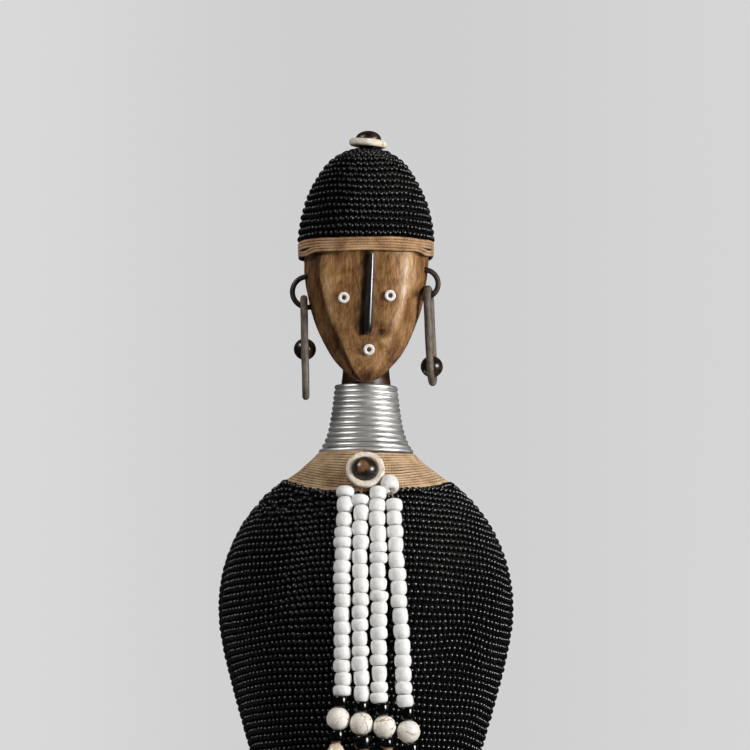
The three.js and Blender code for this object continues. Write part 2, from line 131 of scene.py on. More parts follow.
NOSE = {"top": 240.2, "bottom": 211.8, "top_x": 2.1, "bottom_x": 0.7, "half_width": 1.65, "height": 2.5}
NOSE_TOP_HALF_WIDTH = 1
FACE_RING = {"radius": 1.95, "hole": 0.8, "thickness": 1.1}
FACE_RING_PLACES = {
    "eye_bead_left": (-7.6, 224.7),
    "eye_bead_right": (8.35, 225.4),
    "mouth_bead": (1.05, 206.9),
}

HOOP_WIRE = 1.85
LINK_WIRE = 2.6
EAR_BEAD_RADIUS = 3.9
EAR_Y = -6
EARRINGS = {
    "left": {"hoop": (-20.3, 228.1, 5.4), "link_x": -21.7, "length": 36.8, "lean": 0.02, "turn": 0},
    "right": {"hoop": (20.3, 231, 4.9), "link_x": 21.7, "length": 35.4, "lean": 0.044, "turn": -0.12},
}

CAP_RING = {"radius": 5.45, "half_width": 1.15, "half_height": 1.25, "lean": 0.09, "raised": 0.45}
CAP_BEAD_RADIUS = 4.5
PENDANT = {"place": (-0.2, -26.6, 164.5), "lean": 0.36, "radius": 5.55, "half_width": 1.15, "bead": 4.5}

# The bead strings, from the left. The letters are short, middle, long and extra long beads, from the top.
WHITE_RADIUS = 2.95
BEAD_KINDS = {"s": (3.7, 1.06), "m": (4.45, 1.0), "l": (5.1, 0.95), "x": (5.7, 0.91)}
STRINGS = [
    {"top": 158.2, "away": 1.6, "end": 85.9, "x": (-7.1, -8.1, -7.9), "beads": "sxlssmmssmlmmmmms"},
    {"top": 155.1, "away": 0.4, "end": 83.9, "x": (-1.6, -2, -1.4), "beads": "sxlllllmmmlsllx"},
    {"top": 158.1, "away": -0.5, "end": 83.4, "x": (3.9, 4.5, 4.4), "beads": "mmlxsslmsmmmlsxss"},
    {"top": 153.8, "away": -1.8, "end": 82.1, "x": (9.6, 11.5, 13.5), "beads": "mlmlxmlmxlxmlmm"},
]
STRING_CORD = 0.36  # radius of the cord that the white beads are threaded on
CORD_SIDES = 10
CORD_LOBES = 0.17
CORD_TWIST = TURN / 2 / 1.15  # for each millimetre
# A painted shade round a cord's section: light on its outer side, and painted dark in the groove where it
# meets the next turn
CORD_SHADING = 0.5 + 0.5 * np.cos(np.linspace(0, TURN, CORD_SIDES, endpoint=False))

# The camera: a long lens low down in front, looking slightly up
CAMERA_PLACE = (3.15, -2200, 15)
CAMERA_TARGET = (3.15, 0, 199.5)
CAMERA_LENS = 302.8


# Shapes made from numbers

def smooth(t):
    t = np.clip(t, 0, 1)
    return t * t * (3 - 2 * t)


def unit(vectors):
    return vectors / np.linalg.norm(vectors, axis=-1, keepdims=True)


def spread(count):
    """Even angles all the way round."""
    return np.linspace(0, TURN, count, endpoint=False)


def xyz(x, y, z):
    return np.stack(np.broadcast_arrays(x, y, z), -1)


def run_along(path):
    """How far along a path each of its points lies."""
    return np.r_[0, np.cumsum(np.linalg.norm(np.diff(path, axis=0), axis=-1))]


def picked(vectors, run, stops):
    """Vectors that are given at some distances along a path, at other distances."""
    return np.stack([np.interp(stops, run, vectors[:, i]) for i in range(3)], -1)


def placed(name, data):
    made = bpy.data.objects.new(name, data)
    bpy.context.scene.collection.objects.link(made)
    return made


def mesh_object(name, points, faces, finish=None):
    """A smooth mesh. The points are in millimetres."""
    mesh = bpy.data.meshes.new(name)
    mesh.from_pydata((np.asarray(points).reshape(-1, 3) * MM).tolist(), [], faces)
    mesh.shade_smooth()
    if finish:
        mesh.materials.append(finish.material)
    return placed(name, mesh)


def set_tone(mesh, tone):
    """Keeps how light each point is, for the finish."""
    attribute = mesh.attributes.get("tone") or mesh.attributes.new("tone", "FLOAT", "POINT")
    attribute.data.foreach_set("value", np.asarray(tone, np.float32))


def mesh_piece(name, points, faces, finish, replaced, tone):
    piece = mesh_object(name, points, faces, finish)
    set_tone(piece.data, tone)
    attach(piece, "root")
    if replaced:
        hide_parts(*replaced)
    return piece


def ring_faces(count, sides, looped, first=0):
    """Faces over a stack of closed rings, with an end face on each end of an open stack."""
    spans = count if looped else count - 1
    low = first + np.arange(spans)[:, None] * sides
    high = first + ((np.arange(spans)[:, None] + 1) % count) * sides
    here = np.arange(sides)[None, :]
    following = (here + 1) % sides
    quads = np.stack([low + here, low + following, high + following, high + here], -1)
    faces = quads.reshape(-1, 4).tolist()
    if not looped:
        last = first + (count - 1) * sides
        faces.append(list(range(first + sides - 1, first - 1, -1)))
        faces.append(list(range(last, last + sides)))
    return faces


class Shape:
    """Points and faces that are gathered from several closed forms."""

    def __init__(self):
        self.points = []
        self.faces = []
        self.tones = []
        self.count = 0

    def add(self, rings, looped=False, tone=0.5):
        rings = np.asarray(rings, float)
        self.faces += ring_faces(len(rings), rings.shape[1], looped, self.count)
        self.points.append(rings.reshape(-1, 3))
        self.tones.append(np.broadcast_to(tone, rings.shape[:2]).ravel())
        self.count += rings.shape[0] * rings.shape[1]
        return self

    def add_cord(self, path, normals, radius):
        """A twisted cord along a path."""
        return self.add(tube(path, normals, radius, CORD_SIDES, CORD_LOBES, CORD_TWIST), tone=CORD_SHADING)

    def piece(self, name, finish, slot, replaced=()):
        points = np.concatenate(self.points)
        return mesh_piece(name, points, self.faces, finish, replaced, np.concatenate(self.tones))


def dress(rings, name, finish, slot, node, looped=True, tone=0.5):
    """A piece of one form, in place of a node."""
    return Shape().add(rings, looped, tone).piece(name, finish, slot, [node])


def lifted(surface, level, angle, lift):
    """Points of a surface moved out along its normals, and the normals."""
    step = 1e-3
    here = surface(level, angle)
    along = surface(level, angle + step) - here
    up = surface(level + step, angle) - here
    normal = unit(np.cross(along, up))
    return here + np.asarray(lift)[..., None] * normal, normal


def surface_rings(surface, levels, lift, sides):
    level, angle = np.meshgrid(levels, spread(sides), indexing="ij")
    return lifted(surface, level, angle, lift)[0]


def oval(half_width, half_depth, angle, z):
    return xyz(half_width * np.cos(angle), half_depth * np.sin(angle), z)


def revolved(profile, sides):
    """Rings of a profile of (radius, height) turned about the Z axis."""
    radius, height = np.asarray(profile, float).T[..., None]
    return oval(radius, radius, spread(sides), height)


def moved(rings, place=(0, 0, 0), axis=(0, 0, 1), spin=0.0):
    """Rings about the Z axis, turned so that Z points along an axis, and moved."""
    turn = Vector(axis).to_track_quat("Z", "X").to_matrix() @ Matrix.Rotation(spin, 3, "Z")
    return rings @ np.array(turn).T + np.asarray(place, float)


def swept(path, outwards, sideways, reach, angles):
    """Rings round a path, from two directions across it."""
    around = np.cos(angles)[:, None] * outwards[:, None] + np.sin(angles)[:, None] * sideways[:, None]
    return path[:, None] + reach * around


def tube(path, normals, radius, sides, lobes=0.0, twist=0.0):
    """Rings round a path. A twisted cord has two lobes that wind along it."""
    tangent = unit(np.gradient(path, axis=0))
    normal = unit(normals - (normals * tangent).sum(-1, keepdims=True) * tangent)
    angles = -spread(sides)
    section = 1 + lobes * np.cos(2 * (angles - twist * run_along(path)[:, None]))
    reach = (np.broadcast_to(radius, len(path))[:, None] * section)[..., None]
    return swept(path, normal, np.cross(tangent, normal), reach, angles)


def ripples(seed, wavelength, amplitude, count=12):
    """A smooth random field over points, with waves about one length long."""
    rng = np.random.default_rng(seed)
    directions = unit(rng.normal(size=(count, 3)))
    waves = TURN / (wavelength * rng.uniform(0.7, 1.6, (count, 1))) * directions
    phases = rng.uniform(0, TURN, count)
    size = amplitude * math.sqrt(2 / count)
    return lambda points: size * np.sin(points @ waves.T + phases).sum(-1)


def uneven(rings, seed, amount, wavelength=5):
    """Rings with a hand-made waver."""
    outwards = unit(rings - rings.mean(1, keepdims=True))
    return rings + outwards * ripples(seed, wavelength, amount)(rings)[..., None]


# The doll's own surfaces. A level is a height, and an angle runs anticlockwise seen from above.

def body_half_width(z):
    rise = np.asarray(z, float) - WIDEST
    shoulder = BODY_HALF_WIDTH * np.sqrt(np.clip(1 - (rise / SHOULDER_RISE) ** 2, 0, 1))
    side = BODY_HALF_WIDTH - TAPER * (np.hypot(rise, TAPER_ROUND) - TAPER_ROUND)
    return np.where(rise > 0, shoulder, side)


def body_surface(z, angle):
    half = body_half_width(z)
    return oval(half, DEPTH_RATIO * half, angle, z)


def hem_surface(level, angle):
    """The body's surface with its upper levels bent down along the hem."""
    dip = HEM_DIP * smooth(1 - (HEM - level) / 24)
    return body_surface(level - dip * np.sin(angle) ** 2, angle)


def hem_height(angle):
    return HEM - HEM_DIP * np.sin(angle) ** 2


def collar_front(drop):
    return COLLAR_RADIUS + (COLLAR_FRONT_SLOPE + COLLAR_FRONT_FLARE * drop) * drop


def collar_surface(level, angle):
    share = (COLLAR_TOP - level) / (COLLAR_TOP - COLLAR_HEM)
    z = level - HEM_DIP * share * np.sin(angle) ** 2
    drop = COLLAR_TOP - z
    flaring = np.minimum(drop, COLLAR_TOP - COLLAR_HEM)
    side = COLLAR_RADIUS + (COLLAR_SIDE_SLOPE + COLLAR_SIDE_FLARE * flaring) * drop
    return oval(side, collar_front(drop), angle, z)


def wire_outer_radius(z):
    down = 1 - (z - WIRE_BOTTOM) / (WIRE_TURNS * WIRE)
    return WIRE_TOP_RADIUS + WIRE_CONE * down + WIRE_FLARE * np.maximum(0, down) ** 5


def wire_surface(z, angle):
    radius = wire_outer_radius(z)
    return oval(radius, radius, angle, z)


def head_section(z):
    """Half width, middle and half depth of the head at a height, and how far down the face it is."""
    z = np.asarray(z, float)
    rise = np.clip((z - BROW) / (CROWN - BROW), 0, 1)
    drop = np.clip((BROW - z) / (BROW - CHIN), 0, 1)
    shrink = (1 - rise**2) ** CROWN_BLUNTNESS
    half_width = HEAD_HALF_WIDTH * shrink * (1 - drop**2) ** 0.6
    front = -HEAD_DEPTH * shrink + CHIN_SET_BACK * drop**2
    back = HEAD_DEPTH * shrink - NAPE_SET_IN * drop**1.6
    half_depth = (back - front) / 2 * np.sqrt(1 - drop**8)
    return half_width, (front + back) / 2, half_depth, drop


def section_reach(cosine, sine, z, drop):
    """How far out a point of the head's section lies, where 1 is a round section."""
    square = 2 + SQUARENESS * smooth((SQUARE_FROM - z) / (SQUARE_FROM - SQUARE_TO))
    outer = np.abs(cosine) ** square + np.abs(sine) ** square
    low = smooth((drop - 0.3) / 0.6)
    turn = np.radians(FLAT_TURN[0] + (FLAT_TURN[1] - FLAT_TURN[0]) * low)
    reach = FLAT_REACH[0] + (FLAT_REACH[1] - FLAT_REACH[0]) * low
    towards = np.abs(cosine) * np.sin(turn) - sine * np.cos(turn)
    fading = smooth(drop / 0.06) * smooth((0.97 - drop) / 0.17)
    flat = fading * (np.maximum(towards, 0) / reach) ** FLAT_EDGE
    return (outer ** (FLAT_EDGE / square) + flat) ** (-1 / FLAT_EDGE)


def head_surface(z, angle):
    half_width, middle, half_depth, drop = head_section(z)
    cosine, sine = np.cos(angle), np.sin(angle)
    reach = section_reach(cosine, sine, z, drop)
    return xyz(half_width * reach * cosine, middle + half_depth * reach * sine, z)


def band_surface(z, angle):
    """The head where the band is wound, with flatter sides than the face below it."""
    rings = head_surface(BROW - 0.35 * (BROW - np.minimum(z, BROW)), angle)
    rings[..., 2] = z
    return rings


def face_place(x, z):
    """The point of the face at x, at a height, and the way it faces."""
    angles = np.linspace(math.pi, TURN, 721)
    angle = np.interp(x, head_surface(z, angles)[:, 0], angles)
    return lifted(head_surface, z, angle, 0)


# Finishes

class Finish:
    """A material built node by node, with textures in the object's own space."""

    def __init__(self, name, roughness, metallic=0.0, specular=0.5, coat=0.0, coat_roughness=0.1, sheen=0.0):
        self.material = bpy.data.materials.new(name)
        self.material.use_nodes = True
        self.tree = self.material.node_tree
        self.shader = self.tree.nodes["Principled BSDF"]
        values = {"Roughness": roughness, "Metallic": metallic, "Specular IOR Level": specular}
        values.update({"Coat Weight": coat, "Coat Roughness": coat_roughness, "Sheen Weight": sheen})
        for socket, value in values.items():
            self.shader.inputs[socket].default_value = value

    def node(self, kind, inputs, output=0, **settings):
        """An output of a new node, whose inputs are values or other outputs."""
        made = self.tree.nodes.new("ShaderNode" + kind)
        for key, value in settings.items():
            setattr(made, key, value)
        for key, value in inputs.items():
            if isinstance(value, bpy.types.NodeSocket):
                self.tree.links.new(value, made.inputs[key])
            else:
                made.inputs[key].default_value = value
        return made.outputs[output]

    def feed(self, socket, source):
        self.tree.links.new(source, self.shader.inputs[socket])

    def place(self):
        return self.node("TexCoord", {}, "Object")

    def tone(self):
        return self.node("Attribute", {}, "Fac", attribute_name="tone")

    def noise(self, size, detail=3, stretch=(1, 1, 1), distortion=0, turn=0, output="Fac"):
        """Noise with features of a size in millimetres, drawn out along axes turned about Y."""
        scale = [size * MM * s for s in stretch]
        mapping = {"Vector": self.place(), "Rotation": (0, turn, 0), "Scale": scale}
        vector = self.node("Mapping", mapping, vector_type="TEXTURE")
        inputs = {"Vector": vector, "Scale": 1, "Detail": detail, "Distortion": distortion}
        return self.node("TexNoise", inputs, output)

    def math(self, operation, *values):
        return self.node("Math", dict(enumerate(values)), operation=operation)

    def add(self, first, share, second, other_share=None):
        """A share of one value and another value, or a share of it."""
        rest = self.math("MULTIPLY", second, other_share) if other_share else second
        return self.math("MULTIPLY_ADD", first, share, rest)

    def between(self, value, low, high, to_low=0, to_high=1):
        inputs = {"Value": value, "From Min": low, "From Max": high, "To Min": to_low, "To Max": to_high}
        return self.node("MapRange", inputs, "Result", interpolation_type="SMOOTHSTEP")

    def ramp(self, value, *stops):
        """A ramp through (position, colour) stops. Colours are 0 to 255 as a screen shows them."""
        made = self.node("ValToRGB", {"Fac": value}, "Color")
        elements = made.node.color_ramp.elements
        while len(elements) < len(stops):
            elements.new(0.5)
        for element, (position, colour) in zip(elements, stops):
            element.position = position
            element.color = screen_colour(colour)
        return made

    def mix(self, amount, *colours):
        first, second = [screen_colour(c) if isinstance(c, tuple) else c for c in colours]
        return self.node("Mix", {0: amount, 6: first, 7: second}, 2, data_type="RGBA")

    def colour(self, value, *stops):
        self.feed("Base Color", self.ramp(value, *stops))

    def vary_roughness(self, source, low, high):
        self.feed("Roughness", self.between(source, 0.3, 0.7, low, high))

    def bump(self, height, depth, strength):
        """A bump of a depth in millimetres."""
        inputs = {"Height": height, "Distance": depth * MM, "Strength": strength}
        self.feed("Normal", self.node("Bump", inputs, "Normal"))

    def mottle(self, fine, share, coarse, *stops):
        """Colours the finish by a share of a fine noise and the rest of a coarse one, and returns both."""
        small, large = self.noise(*fine), self.noise(*coarse)
        self.colour(self.add(small, share, large, 1 - share), *stops)
        return small, large


def screen_colour(colour):
    linear = [(c / 255 / 12.92) if c <= 10.3 else ((c / 255 + 0.055) / 1.055) ** 2.4 for c in colour]
    return (*linear, 1.0)


def wood_finish():
    wood = Finish("carved_wood", 0.36, specular=0.42)
    streaks = wood.noise(1.0, 4, (1, 1, 9), 0.8)
    slanted = wood.noise(0.9, 4, (1, 1, 7), 1.0, 0.6)
    fine = wood.noise(0.24, 3, (1, 1, 18))
    patches = wood.noise(5, 4, (1, 1, 1.6), 1.4)
    blend = wood.add(slanted, 0.22, wood.add(streaks, 0.3, patches, 0.36))
    blend = wood.add(fine, 0.4, blend)
    blend = wood.add(wood.tone(), 0.7, wood.math("SUBTRACT", blend, 0.37))
    wood.colour(
        blend,
        (0.30, (38, 24, 14)),
        (0.44, (80, 52, 30)),
        (0.58, (130, 92, 56)),
        (0.72, (176, 132, 86)),
        (0.88, (214, 182, 140)),
    )
    wood.vary_roughness(patches, 0.27, 0.42)
    wood.bump(wood.add(fine, 0.5, streaks), 0.1, 0.5)
    return wood


def twine_finish(name, dark, middle, light):
    twine = Finish(name, 0.85, specular=0.25, sheen=0.15)
    fibre = twine.noise(0.3, 4, (1, 1, 0.6))
    blend = twine.add(twine.noise(5, 2), 0.5, fibre, 0.5)
    lit = twine.ramp(blend, (0.35, dark), (0.5, middle), (0.64, light))
    # The grooves between the turns are painted darker, a painted shade where the cords meet.
    groove_shade = twine.between(twine.tone(), 0.55, 1, 1, 0)
    twine.feed("Base Color", twine.mix(groove_shade, lit, tuple(c // 3 for c in dark)))
    twine.bump(fibre, 0.12, 0.6)
    return twine


def seed_bead_finish(name, specular):
    bead = Finish(name, 0.12, specular=specular, coat=0.42, coat_roughness=0.277)
    tone = bead.tone()
    bead.colour(tone, (0, (4, 4, 4)), (0.7, (7, 7, 6)), (1, (14, 13, 12)))
    bead.feed("Roughness", bead.between(tone, 0, 1, 0.08, 0.16))
    return bead


def bead_bed_finish():
    bed = Finish("black_thread", 0.9, specular=0.1)
    bed.colour(bed.noise(0.5, 2), (0.35, (3, 3, 3)), (0.65, (7, 7, 6)))
    return bed


def wire_finish():
    wire = Finish("bright_wire", 0.44, metallic=0.92)
    smear = wire.noise(2.5, 3, (2.5, 2.5, 0.5))
    wire.colour(smear, (0.3, (238, 236, 233)), (0.7, (252, 251, 249)))
    wire.vary_roughness(smear, 0.38, 0.5)
    wire.bump(wire.noise(0.4, 2, (4, 4, 0.4)), 0.02, 0.5)
    return wire


def bone_finish():
    bone = Finish("turned_bone", 0.5, specular=0.35)
    stops = (0.34, (196, 166, 128)), (0.46, (236, 222, 200)), (0.6, (247, 241, 230))
    pores, _ = bone.mottle((0.45, 4, (1, 1, 2)), 0.6, (2.2, 2), *stops)
    bone.bump(pores, 0.08, 0.5)
    return bone


def dark_wood_finish(name, roughness, coat, pale=(128, 92, 60)):
    dark = Finish(name, roughness, coat=coat, coat_roughness=0.18)
    clouds = dark.noise(3.6, 3, (1, 1, 1.4), 0.6)
    blend = dark.add(dark.noise(0.5, 3, (1, 1, 8)), 0.25, clouds, 0.85)
    blend = dark.add(dark.tone(), 0.24, dark.math("SUBTRACT", blend, 0.12))
    dark.colour(blend, (0.48, (22, 16, 13)), (0.58, (52, 36, 26)), (0.7, pale))
    return dark


def horn_finish():
    horn = Finish("black_horn", 0.32, specular=1.0, coat=1.0, coat_roughness=0.28)
    streak = horn.noise(1.2, 2, (1, 1, 8))
    horn.colour(streak, (0.35, (14, 13, 13)), (0.7, (28, 25, 24)))
    return horn


def white_glass_finish():
    white = Finish("white_glass", 0.38, specular=0.35)
    stops = (0.36, (232, 229, 223)), (0.5, (244, 243, 240)), (0.64, (250, 250, 249))
    speck, cloud = white.mottle((0.5, 2), 0.4, (1.6, 3), *stops)
    white.vary_roughness(cloud, 0.3, 0.48)
    white.bump(speck, 0.03, 0.4)
    return white


def black_glass_finish():
    black = Finish("black_glass", 0.12)
    cloud = black.noise(1.5, 2)
    black.colour(cloud, (0.3, (2, 2, 2)), (0.7, (8, 7, 7)))
    black.vary_roughness(cloud, 0.08, 0.16)
    return black


def howlite_finish():
    """White stone with brown veins in some places."""
    stone = Finish("howlite", 0.36, specular=0.4)
    cloud = stone.noise(3)
    drift = stone.noise(4, 2, output="Color")
    bent = {0: drift, 1: (6 * MM, 6 * MM, 6 * MM), 2: stone.place()}
    cells = {"Vector": stone.node("VectorMath", bent, operation="MULTIPLY_ADD"), "Scale": 1 / (7 * MM)}
    distance = stone.node("TexVoronoi", cells, "Distance", feature="DISTANCE_TO_EDGE")
    vein = stone.between(distance, 0.01, 0.045, 0.9, 0)
    vein = stone.math("MULTIPLY", vein, stone.between(cloud, 0.42, 0.56))
    blend = stone.add(stone.noise(0.5), 0.55, cloud, 0.45)
    base = stone.ramp(blend, (0.36, (228, 215, 194)), (0.48, (245, 238, 226)), (0.62, (252, 249, 243)))
    stone.feed("Base Color", stone.mix(vein, base, (172, 134, 88)))
    return stone


def shell_finish():
    shell = Finish("cowrie_shell", 0.2, coat=0.3)
    stops = (0.34, (196, 166, 128)), (0.5, (228, 210, 182)), (0.64, (242, 234, 218))
    shell.mottle((1, 2, (1, 1, 4)), 0.3, (4, 3), *stops)
    return shell


def metal_finish(name, dark, light, roughness, metallic):
    metal = Finish(name, roughness, metallic=metallic, specular=0.4)
    scratch, patina = metal.mottle((0.35, 3, (1, 1, 7)), 0.4, (2.2, 4), (0.38, dark), (0.62, light))
    metal.vary_roughness(patina, roughness - 0.08, roughness + 0.1)
    metal.bump(metal.add(scratch, 0.4, patina, 0.6), 0.08, 0.5)
    return metal


# The wooden figure

# Dark and pale places on the face, among them painted highlights near its edges and a painted shadow of the
# right hoop: x, height, half width, half height, how much paler
SPOTS = [
    (5.6, 212.6, 1.3, 1.1, -0.4),
    (4.4, 215.4, 2.6, 0.7, -0.14),
    (8.4, 214.2, 1.0, 2.2, -0.14),
    (7.2, 210.0, 2.6, 1.2, 0.16),
    (3.6, 203.5, 2.2, 3.6, 0.17),
    (13.0, 230.0, 3.2, 6.0, 0.16),
    # A painted highlight down the right edge of the face, where the key light glints
    (16.6, 234.0, 1.4, 10.0, 0.2),
    (11.5, 218.0, 2.4, 6.0, 0.1),
    # A painted highlight near the left edge of the face, where the fill light glints
    (-12.5, 224.0, 1.6, 12.0, 0.1),
    (-8.5, 212.0, 2.5, 7.0, -0.06),
    (-13.5, 205.0, 3.0, 8.0, -0.14),
    (9.0, 206.0, 2.0, 7.0, -0.12),
    (-4.5, 231.0, 3.2, 9.0, -0.1),
    (-3.4, 217.0, 2.0, 7.0, -0.1),
    # A painted shadow that the right ear hoop casts on the cheek
    (17.6, 226.6, 1.6, 1.6, -0.3),
    (1.0, 197.5, 9.0, 2.0, -0.2),
]


def wood_tone(points):
    """How pale the wood is: paler in a painted highlight just inside the face's edges, and dark on its sides,
    under the chin and behind, with a painted shadow beside the nose.
    """
    x, y, z = points.T
    half_width, middle, half_depth, drop = head_section(z)
    low = smooth((drop - 0.3) / 0.6)
    sideways = np.abs(x) / np.maximum(half_width, 0.1)
    across = np.degrees(np.arctan2(sideways, (middle - y) / np.maximum(half_depth, 1e-6)))
    edge = 41 - 11 * low
    # A pale band just inside the face's edges is a painted highlight, where the lamps glint on the rounded
    # edge.
    edge_highlight = 0.12 * np.exp(-(((across - edge + 4) / 5) ** 2))
    side = smooth((across - edge) / 2.5) * np.where(x < 0, 0.11, 0.06)
    stain = np.exp(-(((across - edge - 6) / 7) ** 2)) * (across > edge) * np.where(x < 0, 0.14, 0)
    # A painted shadow that the nose casts on the wood to its left, darkest just beside it.
    left_of_nose = x - NOSE["bottom_x"] - 0.0507 * (z - NOSE["bottom"]) + 2.05
    painted_nose_shadow = np.exp(-((left_of_nose / 0.85) ** 2)) * (z > NOSE["bottom"])
    tone = 0.5 + edge_highlight - side - stain - 0.6 * painted_nose_shadow * (y < middle)
    for spot_x, spot_z, wide, high, paler in SPOTS:
        away = ((x - spot_x) / wide) ** 2 + ((z - spot_z) / high) ** 2
        tone = tone + paler * np.exp(-away) * (y < middle)
    on_neck = smooth((NECK_TOP + 1 - z) / 9) * (np.hypot(x, y) < NECK_RADIUS + 1.2)
    on_neck = np.maximum(on_neck, z < CHIN)
    return np.clip(tone + (0.12 - tone) * on_neck, 0, 1)


def hoop_rings(hoop, wire):
    x, z, radius = hoop
    angles = spread(48)
    outwards = xyz(np.cos(angles), 0, np.sin(angles))
    path = np.array([x, EAR_Y, z]) + radius * outwards
    return swept(path, outwards, np.array([[0, 1, 0]]), wire / 2, spread(14))


def head_rings():
    """The head's rings from the chin up, with marks of carving."""
    drops = 1 - np.linspace(0, 1, 56, endpoint=False) ** 1.5
    below = BROW - (BROW - CHIN) * drops[drops < 0.995]
    above = BROW + (CROWN - BROW) * np.sin(np.radians(np.linspace(2, 84, 22)))
    rings = surface_rings(head_surface, np.r_[below, above], 0, 120)
    marks = ripples(11, 9, 0.1)(rings) + ripples(12, 3.2, 0.035)(rings)
    outwards = unit(rings - rings.mean(1, keepdims=True))
    return rings + np.minimum(0, marks - 0.08)[..., None] * outwards


def foot_rings():
    """A low oval foot with rounded edges."""
    edge = FOOT["edge"]
    bend = np.radians([0, 30, 60, 90])
    insets = edge * np.r_[1 - np.sin(bend), 1 - np.cos(bend)]
    heights = np.r_[edge * (1 - np.cos(bend)), FOOT["height"] - edge * (1 - np.sin(bend))]
    insets, heights = insets[:, None], heights[:, None]
    return oval(FOOT["half_width"] - insets, FOOT["half_depth"] - insets, spread(TRUNK_SIDES), heights)


def trunk_rings():
    """The foot, the core under the wraps, and the neck, which ends in the head."""
    core_lift = -BODY_SKIN - GAP
    core = surface_rings(body_surface, np.linspace(BODY_BOTTOM, 152, 40), core_lift, TRUNK_SIDES)
    rim = core[:1] * (1, 1, 0) + (0, 0, FOOT["height"])
    slope = np.linspace(COLLAR_HEM + 2, COLLAR_TOP - GAP, 6)
    shoulder = surface_rings(collar_surface, slope, -COLLAR_SKIN - GAP, TRUNK_SIDES)
    wire_top = WIRE_BOTTOM + WIRE_TURNS * WIRE
    round_from = NECK_TOP - NECK_RADIUS / 2
    low = np.linspace(WIRE_BOTTOM, wire_top, 8)
    high = np.linspace(wire_top, round_from, 10)[1:]
    bend = np.radians([20, 40, 60, 75, 86])
    radii = [wire_outer_radius(low) - WIRE - 1.5 * GAP, NECK_RADIUS + 0.8 * np.exp(-(high - wire_top) / 2.5)]
    radii.append(NECK_RADIUS * np.cos(bend))
    heights = np.r_[low, high, NECK_TOP - NECK_RADIUS / 2 * (1 - np.sin(bend))]
    neck = revolved(np.stack([np.concatenate(radii), heights], -1), TRUNK_SIDES)
    return np.concatenate([foot_rings(), rim, core, shoulder, neck])


def joined(base, other, operation):
    """Applies a boolean of another object to a base object, and removes the other."""
    modifier = base.modifiers.new("cut", "BOOLEAN")
    modifier.operation = operation
    modifier.object = other
    modifier.solver = "EXACT"
    bpy.context.view_layer.update()
    evaluated = base.evaluated_get(bpy.context.evaluated_depsgraph_get())
    result = bpy.data.meshes.new_from_object(evaluated)
    base.modifiers.remove(modifier)
    base.data = result
    bpy.data.objects.remove(other)


def scratch_object(rings, looped=False):
    shape = Shape().add(rings, looped)
    return mesh_object("scratch", np.concatenate(shape.points), shape.faces)


def carved_figure(finish):
    figure = dress(head_rings(), "carved_wood_figure", finish, "wood", "carved_figure", looped=False)
    joined(figure, scratch_object(trunk_rings()), "UNION")
    for earring in EARRINGS.values():
        joined(figure, scratch_object(hoop_rings(earring["hoop"], HOOP_WIRE + 2 * GAP), True), "DIFFERENCE")
    figure.data.shade_smooth()
    figure.data.set_sharp_from_angle(angle=math.radians(50))
    places = np.empty(len(figure.data.vertices) * 3)
    figure.data.vertices.foreach_get("co", places)
    set_tone(figure.data, wood_tone(places.reshape(-1, 3) / MM))


# What is wound round the figure

def wound_level(surface, low, high, pitch, lift, upright=0.0):
    """The level after a number of turns a pitch apart, measured on the surface or more and more upright."""
    levels = np.linspace(low, high, 1500)
    line = lifted(surface, levels, FRONT / 2, lift)[0]
    steps = np.diff(line, axis=0)
    steps = (1 - upright) * np.linalg.norm(steps, axis=-1) + upright * np.abs(steps[:, 2])
    climbed = np.r_[0, np.cumsum(steps)] / pitch
    return climbed[-1], lambda turns: np.interp(turns, climbed, levels)


SEED_PROFILE = [(-0.5, 0.44), (-0.2, 0.96), (0.2, 0.96), (0.5, 0.44)]
SEED_ANGLES = np.radians([-90, -54, -18, 18, 54, 90, 180])
SEED_END = 0.4


def seed_bead():
    """A seed bead about its thread, with more sides where it shows. Its axes are thread, outwards and up."""
    sides = len(SEED_ANGLES)
    along, girth = np.array(SEED_PROFILE).T[..., None]
    rings = xyz(along, girth * np.cos(SEED_ANGLES), girth * np.sin(SEED_ANGLES)).reshape(-1, 3)
    points = np.concatenate([rings, [(-SEED_END, 0, 0), (SEED_END, 0, 0)]])
    here = np.arange(len(rings) - sides)
    low, high = here[:sides], here[-sides:] + sides
    following = here // sides * sides + (here + 1) % sides
    walls = np.stack([here, following, following + sides, here, following + sides, here + sides], -1)
    ends = [0 * low + len(rings), following[:sides], low, 0 * low + len(rings) + 1, high, np.roll(high, -1)]
    return points, np.concatenate([walls, np.stack(ends, -1)]).reshape(-1, 3)


def bead_row(path, turns, length, rng):
    """Turns along a path at the middles of beads of uneven length, and the lengths."""
    fine = np.linspace(0, turns, int(turns * 240))
    run = run_along(path(fine)[0])
    lengths = length * np.clip(rng.normal(1, 0.13, int(1.2 * run[-1] / length)), 0.72, 1.35)
    ends = np.cumsum(lengths)
    lengths = lengths[ends < run[-1]]
    return np.interp(np.cumsum(lengths) - lengths / 2, run, fine), lengths


def stepped(along):
    """The rows climbed by a thread that goes round level and steps up behind to its next row."""
    whole = np.floor(along)
    return whole + smooth((along - whole - 1 + STEP_SHARE) / STEP_SHARE)


